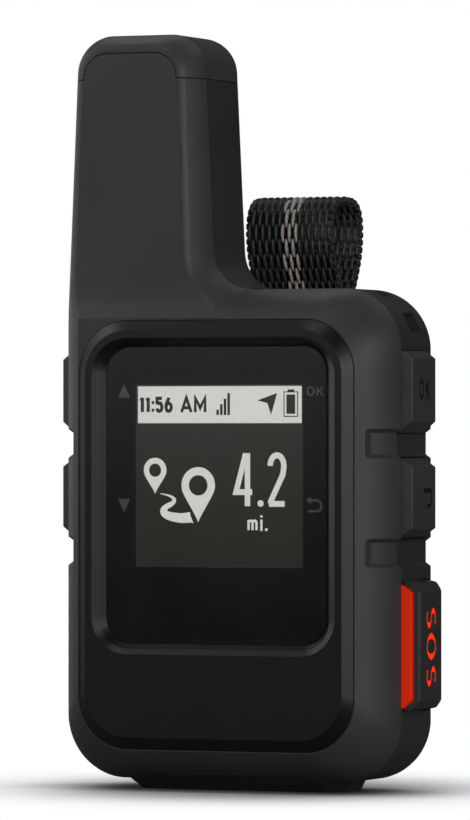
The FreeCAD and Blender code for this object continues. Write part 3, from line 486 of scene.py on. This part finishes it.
# the route below it
MARKERS = ((-9.14, 41.87, 1.62, 0.86, 38.8), (-3.0, 39.91, 2.38, 1.32, 35.1))  # x, z, radius, hole, tip's z
MARKER_STEPS = 48
SHOULDER = 0.42  # how far below a marker's middle its sides start to draw in, over its radius
MARKER_NARROWS, MARKER_DROPS = 1.15, 0.92  # the powers that shape its sides
ROAD = [  # x, height, width
    (-8.40, 38.82, 0.10), (-7.5, 38.66, 0.22), (-6.75, 38.38, 0.36), (-6.40, 37.98, 0.50),
    (-6.70, 37.55, 0.62), (-7.45, 37.15, 0.74), (-7.92, 36.72, 0.86), (-7.85, 36.30, 0.98),
    (-7.25, 35.95, 1.10), (-6.30, 35.74, 1.20), (-5.30, 35.64, 1.28), (-3.92, 35.76, 1.36),
]
ROAD_STEPS = 5
ROAD_END = ((-4.30, 36.36), (-3.66, 34.96))  # its last two corners, cut to the large marker's side

# the distance and its unit
DISTANCE = (("4", 1.98, 37.17, 2.83, 7.01, 0.76), ("2", 6.79, 37.17, 2.69, 7.06, 0.76))
POINT_AT, POINT_R, POINT_STEPS = (5.82, 37.60), 0.43, 20
UNIT_M = ("m", 3.96, 34.03, 1.46, 1.49, 0.34)
UNIT_REST = (
    corners(5.78, 34.03, 6.10, 35.50), corners(5.78, 35.78, 6.10, 36.06), corners(6.46, 34.03, 6.80, 34.38),
)


def on_screen(x, z, height):
    return at(x, SCREEN_D - height, z)


def screen_area(name, look, low, high):
    """A plain area over the screen's whole width."""
    slab = Slab(on_screen, AREA_LIFT, AREA_LIFT + PRINT)
    slab.polygon(corners(-SCREEN_HALF, low, SCREEN_HALF, high))
    slab.finish(name, MATERIALS[look], "unit", "screen")


def status_signs():
    """The dark signs on the status bar."""
    slab = Slab(on_screen, SIGN_LIFT, SIGN_LIFT + PRINT)
    x = TIME_LEFT
    for glyph, width, advance in TIME:
        if glyph == ":":
            for rise in COLON_RISES:
                low = TEXT_LOW + rise
                slab.polygon(corners(x, low, x + COLON_DOT[0], low + COLON_DOT[1]))
        else:
            slab.write(glyph, x, TEXT_LOW, width, TEXT_TALL, TIME_STROKE)
        x += advance
    for glyph, left, width, stroke in HALF_DAY:
        slab.write(glyph, left, TEXT_LOW, width, TEXT_TALL, stroke)
    for i in range(SIGNAL_BARS):
        left = SIGNAL_LEFT + SIGNAL_STEP * i
        slab.polygon(corners(left, SIGNAL_LOW, left + SIGNAL_WIDE, SIGNAL_TOP + SIGNAL_RISE * i))
    slab.polygon(POINTER)
    slab.stroke(BATTERY_CASE, BATTERY_STROKE, closed=True)
    slab.polygon(BATTERY_CAP)
    slab.polygon(BATTERY_CHARGE)
    slab.finish("screen_dark_signs", MATERIALS["screen_dark"], "unit", "screen")


def marker(slab, cx, cz, radius, hole, tip):
    """A map marker: a ring that draws down to a point."""
    outside, inside = [], []
    shoulder_half = math.cos(math.asin(SHOULDER))
    for i in range(MARKER_STEPS):
        turn = 2 * math.pi * i / MARKER_STEPS
        u, v = radius * math.cos(turn), radius * math.sin(turn)
        if math.sin(turn) < -SHOULDER:
            inward = abs(math.cos(turn)) / shoulder_half
            v = -radius * SHOULDER - (cz - tip - radius * SHOULDER) * (1 - inward) ** MARKER_DROPS
            u = radius * math.copysign(shoulder_half * inward ** MARKER_NARROWS, math.cos(turn))
        outside.append((cx + u, cz + v))
        inside.append((cx + hole * math.cos(turn), cz + hole * math.sin(turn)))
    slab.strip(outside, inside, closed=True)


def road(slab):
    """The winding road between the markers, which widens towards the near one."""
    line = spline([Vector(p) for p in ROAD], ROAD_STEPS)
    left, right = [], []
    for i, p in enumerate(line):
        a, b = line[max(i - 1, 0)], line[min(i + 1, len(line) - 1)]
        run = Vector((b.x - a.x, b.y - a.y)).normalized()
        left.append((p.x - run.y * p.z / 2, p.y + run.x * p.z / 2))
        right.append((p.x + run.y * p.z / 2, p.y - run.x * p.z / 2))
    left[-1], right[-1] = ROAD_END
    slab.strip(left, right)


def route_signs():
    """The light signs below the bar: the route, and the distance."""
    slab = Slab(on_screen, SIGN_LIFT, SIGN_LIFT + PRINT)
    for values in MARKERS:
        marker(slab, *values)
    road(slab)
    for values in DISTANCE:
        slab.write(*values)
    slab.polygon(arc(*POINT_AT, POINT_R, POINT_R, 0, 360, POINT_STEPS)[:-1])
    slab.write(*UNIT_M)
    for points in UNIT_REST:
        slab.polygon(points)
    slab.finish("screen_light_signs", MATERIALS["screen_light"], "unit", "screen")


# ---- prints on the window's back ----
FAINT_D, FAINT_THICK = 2.262, 0.006
FAINT_UP = [(-14.35, 51.35), (-12.65, 51.35), (-13.5, 53.1)]
FAINT_DOWN = [(-14.35, 38.1), (-13.5, 36.35), (-12.65, 38.1)]
FAINT_OK = (("O", 12.35, 51.5, 1.15, 1.25, 0.24), ("K", 13.75, 51.5, 1.0, 1.25, 0.24))
FAINT_BACK = (13.45, 37.35, 1.18, 0.24, 0.75)


def lens_prints():
    """Faint key signs beside the screen."""
    slab = Slab(lambda x, z, height: at(x, FAINT_D - height, z), 0.0, FAINT_THICK)
    slab.polygon(FAINT_UP)
    slab.polygon(FAINT_DOWN)
    for values in FAINT_OK:
        slab.write(*values)
    back_sign(slab, *FAINT_BACK)
    slab.finish("window_prints", MATERIALS["faint_print"], "unit", "window")


# ---- marks cut into the keys and the cover; (low, high) heights are off the outer face ----
WELD_DISTANCE = 1e-6  # metres
KEY_OUT, KEY_D = 24.9, 11.85  # the keys' outer faces, and the depth of their middle
KEY_CUT, KEY_FLOOR = (-0.25, 0.3), (-0.50, -0.15)
FLOOR_MORE = 0.05  # the black floor's signs are this much wider than the cut
KEY_OK = (("O", -1.80, 1.90), ("K", 0.45, 1.70))  # glyph, left side, width
OK_LOW, OK_TALL, OK_STROKE = 50.95, 2.8, 0.6
KEY_BACK, BACK_STROKE, BACK_TAIL = (1.35, 38.3, 1.70), 0.34, 0.25
ARROW_HALF, ARROW_BASE, ARROW_TIP = 1.3, 1.0, 1.25
UP_Z, DOWN_Z = 52.3, 38.3

COVER_OUT, COVER_D = 26.0, 11.83
COVER_CUT, COVER_FILL = (-0.42, 0.3), (-0.55, -0.26)
COVER_WORD = (("S", 24.18, 2.84), ("O", 20.86, 3.57), ("S", 16.64, 2.84))  # glyph, top, length downwards
LETTER_HALF = 1.87  # letters are this tall each side of the middle, front to back
CUT_STROKE, FILL_STROKE = 0.84, 0.86


def carve(cad_name, cutter):
    """Cuts a mark into a CAD node with a modifier, so that its own mesh stays as packed."""
    cutter.hide_render = True
    cutter.hide_viewport = True
    cutter.display_type = "WIRE"
    target = NODES[cad_name]
    weld = target.modifiers.new("weld", "WELD")
    weld.merge_threshold = WELD_DISTANCE
    cut = target.modifiers.new("mark", "BOOLEAN")
    cut.operation = "DIFFERENCE"
    cut.solver = "EXACT"
    cut.use_self = True
    cut.object = cutter


def on_key(side):
    """Places (u, v) on the keys' outer faces; side is 1 on the right and -1 on the left.

    u runs towards the back on the right and towards the front on the left, and v up.
    """
    def place(u, v, height):
        return at(side * (KEY_OUT + height), KEY_D + side * u, v)
    return place


def on_cover(u, v, height):
    """Places (u, v) on the closed cover's outer face; u runs down it, v towards its back."""
    return at(COVER_OUT + height, COVER_D + v, -u)


def ok_sign(slab, more):
    low, tall = OK_LOW - more, OK_TALL + 2 * more
    for glyph, left, width in KEY_OK:
        slab.write(glyph, left - more, low, width + 2 * more, tall, OK_STROKE + more)


def returning_sign(slab, more):
    back_sign(slab, *KEY_BACK, BACK_STROKE + more, BACK_TAIL)


def arrow_sign(z, way):
    """What draws an arrow at height z that points up (way 1) or down (way -1)."""
    def draw(slab, more):
        base, tip = z - way * (ARROW_BASE + more), z + way * (ARROW_TIP + more)
        slab.polygon([(-ARROW_HALF - more, base), (ARROW_HALF + more, base), (0.0, tip)])
    return draw


# each key's side, and what draws its sign that much wider than the cut
KEY_SIGNS = {
    "ok_key": (1, ok_sign),
    "back_key": (1, returning_sign),
    "up_key": (-1, arrow_sign(UP_Z, 1)),
    "down_key": (-1, arrow_sign(DOWN_Z, -1)),
}


def key_marks():
    """The signs on the keys: a cut in the key, and its black floor."""
    for name, (side, draw) in KEY_SIGNS.items():
        cutter = Slab(on_key(side), *KEY_CUT)
        draw(cutter, 0.0)
        carve(name, cutter.finish(name + "_mark_cutter", None, name, None))
        floor_slab = Slab(on_key(side), *KEY_FLOOR)
        draw(floor_slab, FLOOR_MORE)
        floor_slab.finish(name + "_mark", MATERIALS["mark_black"], name, "key_rubber")


def cover_letters():
    """The letters on the cover, reading downwards: a recess and its red filling, whose glow is painted
    light.
    """
    cutter, fill = Slab(on_cover, *COVER_CUT), Slab(on_cover, *COVER_FILL)
    for glyph, top, length in COVER_WORD:
        cutter.write(glyph, -top, -LETTER_HALF, length, 2 * LETTER_HALF, CUT_STROKE)
        fill.write(glyph, -top, -LETTER_HALF, length, 2 * LETTER_HALF, FILL_STROKE)
    carve("sos_cover", cutter.finish("cover_letter_cutter", None, "sos_cover", None))
    fill.finish("cover_letters", MATERIALS["letter_red_painted_glow"], "sos_cover", "signal_red")


# ---- webbing: a ribbed ground, yarns floating over it on both faces, and yarns round its edges ----
WEB_HALF, WEB_D = 6.35, 31.2  # half the tape's width, and the depth of the loop's middle
# the loop's middle line: depth from WEB_D and height, up the front and down the back
WEB_LINE = [
    (-0.75, 56.7), (-0.75, 60.0), (-0.75, 61.6), (-0.95, 63.1), (-1.8, 64.9), (-2.75, 66.8), (-3.8, 68.6),
    (-4.7, 70.5), (-5.15, 72.6), (-5.05, 74.7), (-4.45, 76.3), (-3.2, 77.35), (-1.5, 77.7), (0.6, 77.75),
    (2.5, 77.6), (3.95, 76.9), (4.85, 75.6), (5.1, 73.9), (4.95, 72.0), (4.4, 69.9), (3.5, 68.0),
    (2.55, 66.3), (1.65, 64.7), (0.95, 63.1), (0.75, 61.6), (0.75, 60.0), (0.75, 56.7),
]
WEB_STEPS = 6
COLUMN_PITCH, ROW_PITCH = 0.957, 1.98
SLOPE_STEP = 0.25  # the line's direction is measured over this much each way

GROUND_STEP, GROUND_INSET, GROUND_BULGE = 0.25, 0.25, 0.12
GROUND_HALF_THICK, GROUND_RIB = 0.24, 0.05

FLOAT_COLUMNS, PALE_COLUMNS = 13, 3  # in every second row; the rows between have one fewer of each
FLOAT_OVERLAP, FLOAT_RINGS, FLOAT_SIDES = 0.30, 9, 6
FLOAT_SOLE, FLOAT_END, FLOAT_ARCH = 0.12, 0.22, 0.43  # underside, top at the ends, and how much it arches
FLOAT_THIN, FLOAT_SPREAD, FLOAT_BLUNT = 0.13, 0.11, 0.6  # half width at the ends, its growth, and its power

SELVAGES_IN_ROW, SELVAGE_RINGS, SELVAGE_SIDES = 2, 8, 6
SELVAGE_INSET, SELVAGE_OUT, SELVAGE_TALL = 0.38, 0.26, 0.46  # the turn's start, its reach out and up
SELVAGE_THIN, SELVAGE_LONG = 0.12, 0.40  # the yarn's half width, and its half length along the tape


class Track:
    """The tape's middle line, from its front layer's foot over the top and down, by distance along it."""

    def __init__(self):
        self.points = [Vector((WEB_D + p.x, p.y)) for p in spline([Vector(p) for p in WEB_LINE], WEB_STEPS)]
        self.runs = [0.0]
        for a, b in zip(self.points, self.points[1:]):
            self.runs.append(self.runs[-1] + (b - a).length)
        self.length = self.runs[-1]

    def point(self, s):
        """The point, as depth and height, s millimetres along."""
        s = min(max(s, 0.0), self.length)
        i = 0
        while i < len(self.runs) - 2 and self.runs[i + 1] < s:
            i += 1
        t = (s - self.runs[i]) / max(self.runs[i + 1] - self.runs[i], TINY)
        return self.points[i].lerp(self.points[i + 1], t)

    def place(self, x, s, height):
        """A point in metres: x across the tape, s along it, and height out of the loop from its middle."""
        run = (self.point(s + SLOPE_STEP) - self.point(s - SLOPE_STEP)).normalized()
        spot = self.point(s) + Vector((-run.y, run.x)) * height
        return at(x, spot.x, spot.y)


def tube(bm, rows, material_index=0):
    """A closed skin over rows of points, each row being a ring."""
    rings = [[bm.verts.new(p) for p in row] for row in rows]
    for a, b in zip(rings, rings[1:]):
        for i in range(len(a)):
            j = (i + 1) % len(a)
            bm.faces.new((a[i], a[j], b[j], b[i])).material_index = material_index
    bm.faces.new(list(reversed(rings[0]))).material_index = material_index
    bm.faces.new(rings[-1]).material_index = material_index


def web_ground(track):
    """The weft that shows in the gaps: a thin ribbed band, with two ribs in each row."""
    bm = bmesh.new()
    rows = []
    half = WEB_HALF - GROUND_INSET
    edge = half + GROUND_BULGE
    count = int(track.length / GROUND_STEP)
    for i in range(count + 1):
        s = track.length * i / count
        swell = GROUND_HALF_THICK + GROUND_RIB * math.sin(s * 2 * math.pi / (ROW_PITCH / 2))
        ring = ((-half, -swell), (half, -swell), (edge, 0), (half, swell), (-half, swell), (-edge, 0))
        rows.append([track.place(x, s, h) for x, h in ring])
    tube(bm, rows)
    return bm


def web_float(track, side, x, s0, s1):
    """One warp yarn's rings between two distances, arched over the face on that side."""
    rings = []
    for k in range(FLOAT_RINGS + 1):
        t = k / FLOAT_RINGS
        arch = math.sin(math.pi * t) ** FLOAT_BLUNT if 0 < k < FLOAT_RINGS else 0.0
        crown = FLOAT_END + FLOAT_ARCH * arch
        spread = FLOAT_THIN + FLOAT_SPREAD * arch
        ring = []
        for q in range(FLOAT_SIDES + 1):
            turn = math.pi * q / FLOAT_SIDES
            height = side * (FLOAT_SOLE + (crown - FLOAT_SOLE) * math.sin(turn))
            ring.append(track.place(x + spread * math.cos(turn), s0 + (s1 - s0) * t, height))
        rings.append(ring if side > 0 else list(reversed(ring)))
    return rings


def web_floats(track):
    """The warp yarns on both faces, in rows set half a column apart; the middle ones are pale."""
    bm = bmesh.new()
    row_count = int(track.length / ROW_PITCH)
    start = (track.length - row_count * ROW_PITCH) / 2
    for side in (1, -1):
        for row in range(row_count):
            fewer = (row + (side < 0)) % 2
            middle = (FLOAT_COLUMNS - fewer - 1) / 2
            s0 = start + row * ROW_PITCH - FLOAT_OVERLAP
            s1 = s0 + ROW_PITCH + 2 * FLOAT_OVERLAP
            for column in range(FLOAT_COLUMNS - fewer):
                pale = abs(column - middle) <= (PALE_COLUMNS - fewer - 1) / 2
                x = (column - middle) * COLUMN_PITCH
                tube(bm, web_float(track, side, x, s0, s1), 1 if pale else 0)
    return bm


def web_selvages(track):
    """The weft turning round both edges."""
    bm = bmesh.new()
    count = int(track.length / (ROW_PITCH / SELVAGES_IN_ROW))
    for side in (-1, 1):
        for i in range(count):
            s_mid = track.length * (i + 0.5) / count
            rings = []
            for k in range(SELVAGE_RINGS + 1):
                turn = math.pi * (k / SELVAGE_RINGS - 0.5)
                x = side * (WEB_HALF - SELVAGE_INSET + SELVAGE_OUT * math.cos(turn))
                h = SELVAGE_TALL * math.sin(turn)
                ring = []
                for q in range(SELVAGE_SIDES):
                    spin = 2 * math.pi * q / SELVAGE_SIDES
                    out, along = SELVAGE_THIN * math.cos(spin), SELVAGE_LONG * math.sin(spin)
                    wide, high = x + side * out * math.cos(turn), h + out * math.sin(turn)
                    ring.append(track.place(wide, s_mid + along, high))
                rings.append(ring)
            tube(bm, rings)
    return bm


def webbing():
    """The woven loop, which stands in for the CAD's plain one."""
    track = Track()
    for name, weave, looks in (
        ("webbing_ground", web_ground, ["web_ground"]),
        ("webbing_floats", web_floats, ["web_dark", "web_pale"]),
        ("webbing_selvages", web_selvages, ["web_edge"]),
    ):
        bm = weave(track)
        bmesh.ops.recalc_face_normals(bm, faces=bm.faces)
        mesh = bpy.data.meshes.new(name)
        bm.to_mesh(mesh)
        bm.free()
        piece = new_object(name, mesh)
        for look in looks:
            mesh.materials.append(MATERIALS[look])
        for face in mesh.polygons:
            face.use_smooth = True
        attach(piece, "unit")
    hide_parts("webbing_loop")


# ---- stage, in metres and watts ----
FLOOR_HALF = 3.0
FLOOR_TINT = 0.22  # what lights and reflections see of the floor
SHADOW_REACH, SHADOW_SAMPLES = 0.05, 16
# the contact shadow: how much of the sky a spot sees, and how light it is; the first two are its ends
SHADOW = ((0.0, 0.0), (0.92, 1.0), (0.40, 0.12), (0.64, 0.33), (0.75, 0.56), (0.81, 0.78))
WORLD_SEEN, WORLD_FILL = 1.0, 0.012
CENTRE = Vector((0, 0, 0.05))
# azimuth, elevation, distance, width, height, watts
SOFTBOXES = {
    "front_right_box": (30, 8, 0.7, 0.30, 0.45, 0.72),
    "right_box": (62, 8, 0.7, 0.30, 0.45, 1.20),
    "side_box": (90, 8, 0.7, 0.30, 0.45, 0.36),
    "left_box": (-120, 8, 0.7, 0.30, 0.45, 0.38),
    "left_near_box": (-72, 18, 0.12, 0.05, 0.14, 0.030),
    "front_left_box": (-23.6, 12, 0.7, 0.30, 0.30, 0.24),
    "left_high_box": (-90, 50, 0.7, 0.35, 0.35, 0.20),
    "front_high_box": (-15, 62, 0.7, 0.35, 0.35, 0.45),
    "back_left_box": (-150, 50, 0.7, 0.35, 0.35, 0.30),
    "back_right_box": (150, 50, 0.7, 0.35, 0.35, 0.24),
}


def floor_look():
    """Pale to the camera, with a shadow where the object hides the sky; plain and dim to other rays."""
    material, tree = new_material("floor")
    near = node(tree, "ShaderNodeAmbientOcclusion", {"samples": SHADOW_SAMPLES}, Distance=SHADOW_REACH)
    shade = node(tree, "ShaderNodeValToRGB")
    stops = shade.color_ramp.elements
    shade.color_ramp.interpolation = "CARDINAL"
    for i, (open_share, light) in enumerate(SHADOW):
        stop = stops[i] if i < 2 else stops.new(open_share)
        stop.position, stop.color = open_share, grey(light)
    white = node(tree, "ShaderNodeEmission", Strength=1.0)
    dim = node(tree, "ShaderNodeBsdfDiffuse", Color=grey(FLOOR_TINT))
    tree.links.new(near.outputs["AO"], shade.inputs["Fac"])
    tree.links.new(shade.outputs[0], white.inputs["Color"])
    show(tree, camera_split(tree, dim, white))
    return material


def add_floor():
    mesh = bpy.data.meshes.new("floor")
    points = [(x, y, 0) for x, y in corners(-FLOOR_HALF, -FLOOR_HALF, FLOOR_HALF, FLOOR_HALF)]
    mesh.from_pydata(points, [], [(0, 1, 2, 3)])
    floor = new_object("floor", mesh)
    mesh.materials.append(floor_look())


def add_world():
    """A white background for the camera, and a faint fill light for everything else."""
    world = bpy.data.worlds.new("studio")
    bpy.context.scene.world = world
    world.use_nodes = True
    tree = world.node_tree
    tree.nodes.clear()
    seen = node(tree, "ShaderNodeBackground", Color=grey(1.0), Strength=WORLD_SEEN)
    fill = node(tree, "ShaderNodeBackground", Color=grey(1.0), Strength=WORLD_FILL)
    show(tree, camera_split(tree, fill, seen), "ShaderNodeOutputWorld")


def around(azimuth, elevation, distance):
    """A place round the object; azimuth 0 is in front of the face and grows to the right."""
    a, e = math.radians(azimuth), math.radians(elevation)
    return CENTRE + distance * Vector((math.sin(a) * math.cos(e), -math.cos(a) * math.cos(e), math.sin(e)))


def softbox(name, place, width, height, power):
    """A rectangular studio lamp aimed at the object, which the camera doesn't see."""
    data = bpy.data.lights.new(name, "AREA")
    data.shape = "RECTANGLE"
    data.size, data.size_y = width, height
    data.energy = power
    lamp = new_object(name, data)
    aim(lamp, place, CENTRE)
    lamp.visible_camera = False


add_camera()
dress_nodes()
screen_area("screen_bar", "screen_light", BAR_LOW, SCREEN_HIGH)
screen_area("screen_field", "screen_dark", SCREEN_LOW, BAR_LOW - BAR_GAP)
status_signs()
route_signs()
lens_prints()
key_marks()
cover_letters()
webbing()
add_floor()
add_world()
for name, (azimuth, elevation, distance, width, height, power) in SOFTBOXES.items():
    softbox(name, around(azimuth, elevation, distance), width, height, power)
bpy.context.scene.view_settings.view_transform = "Standard"
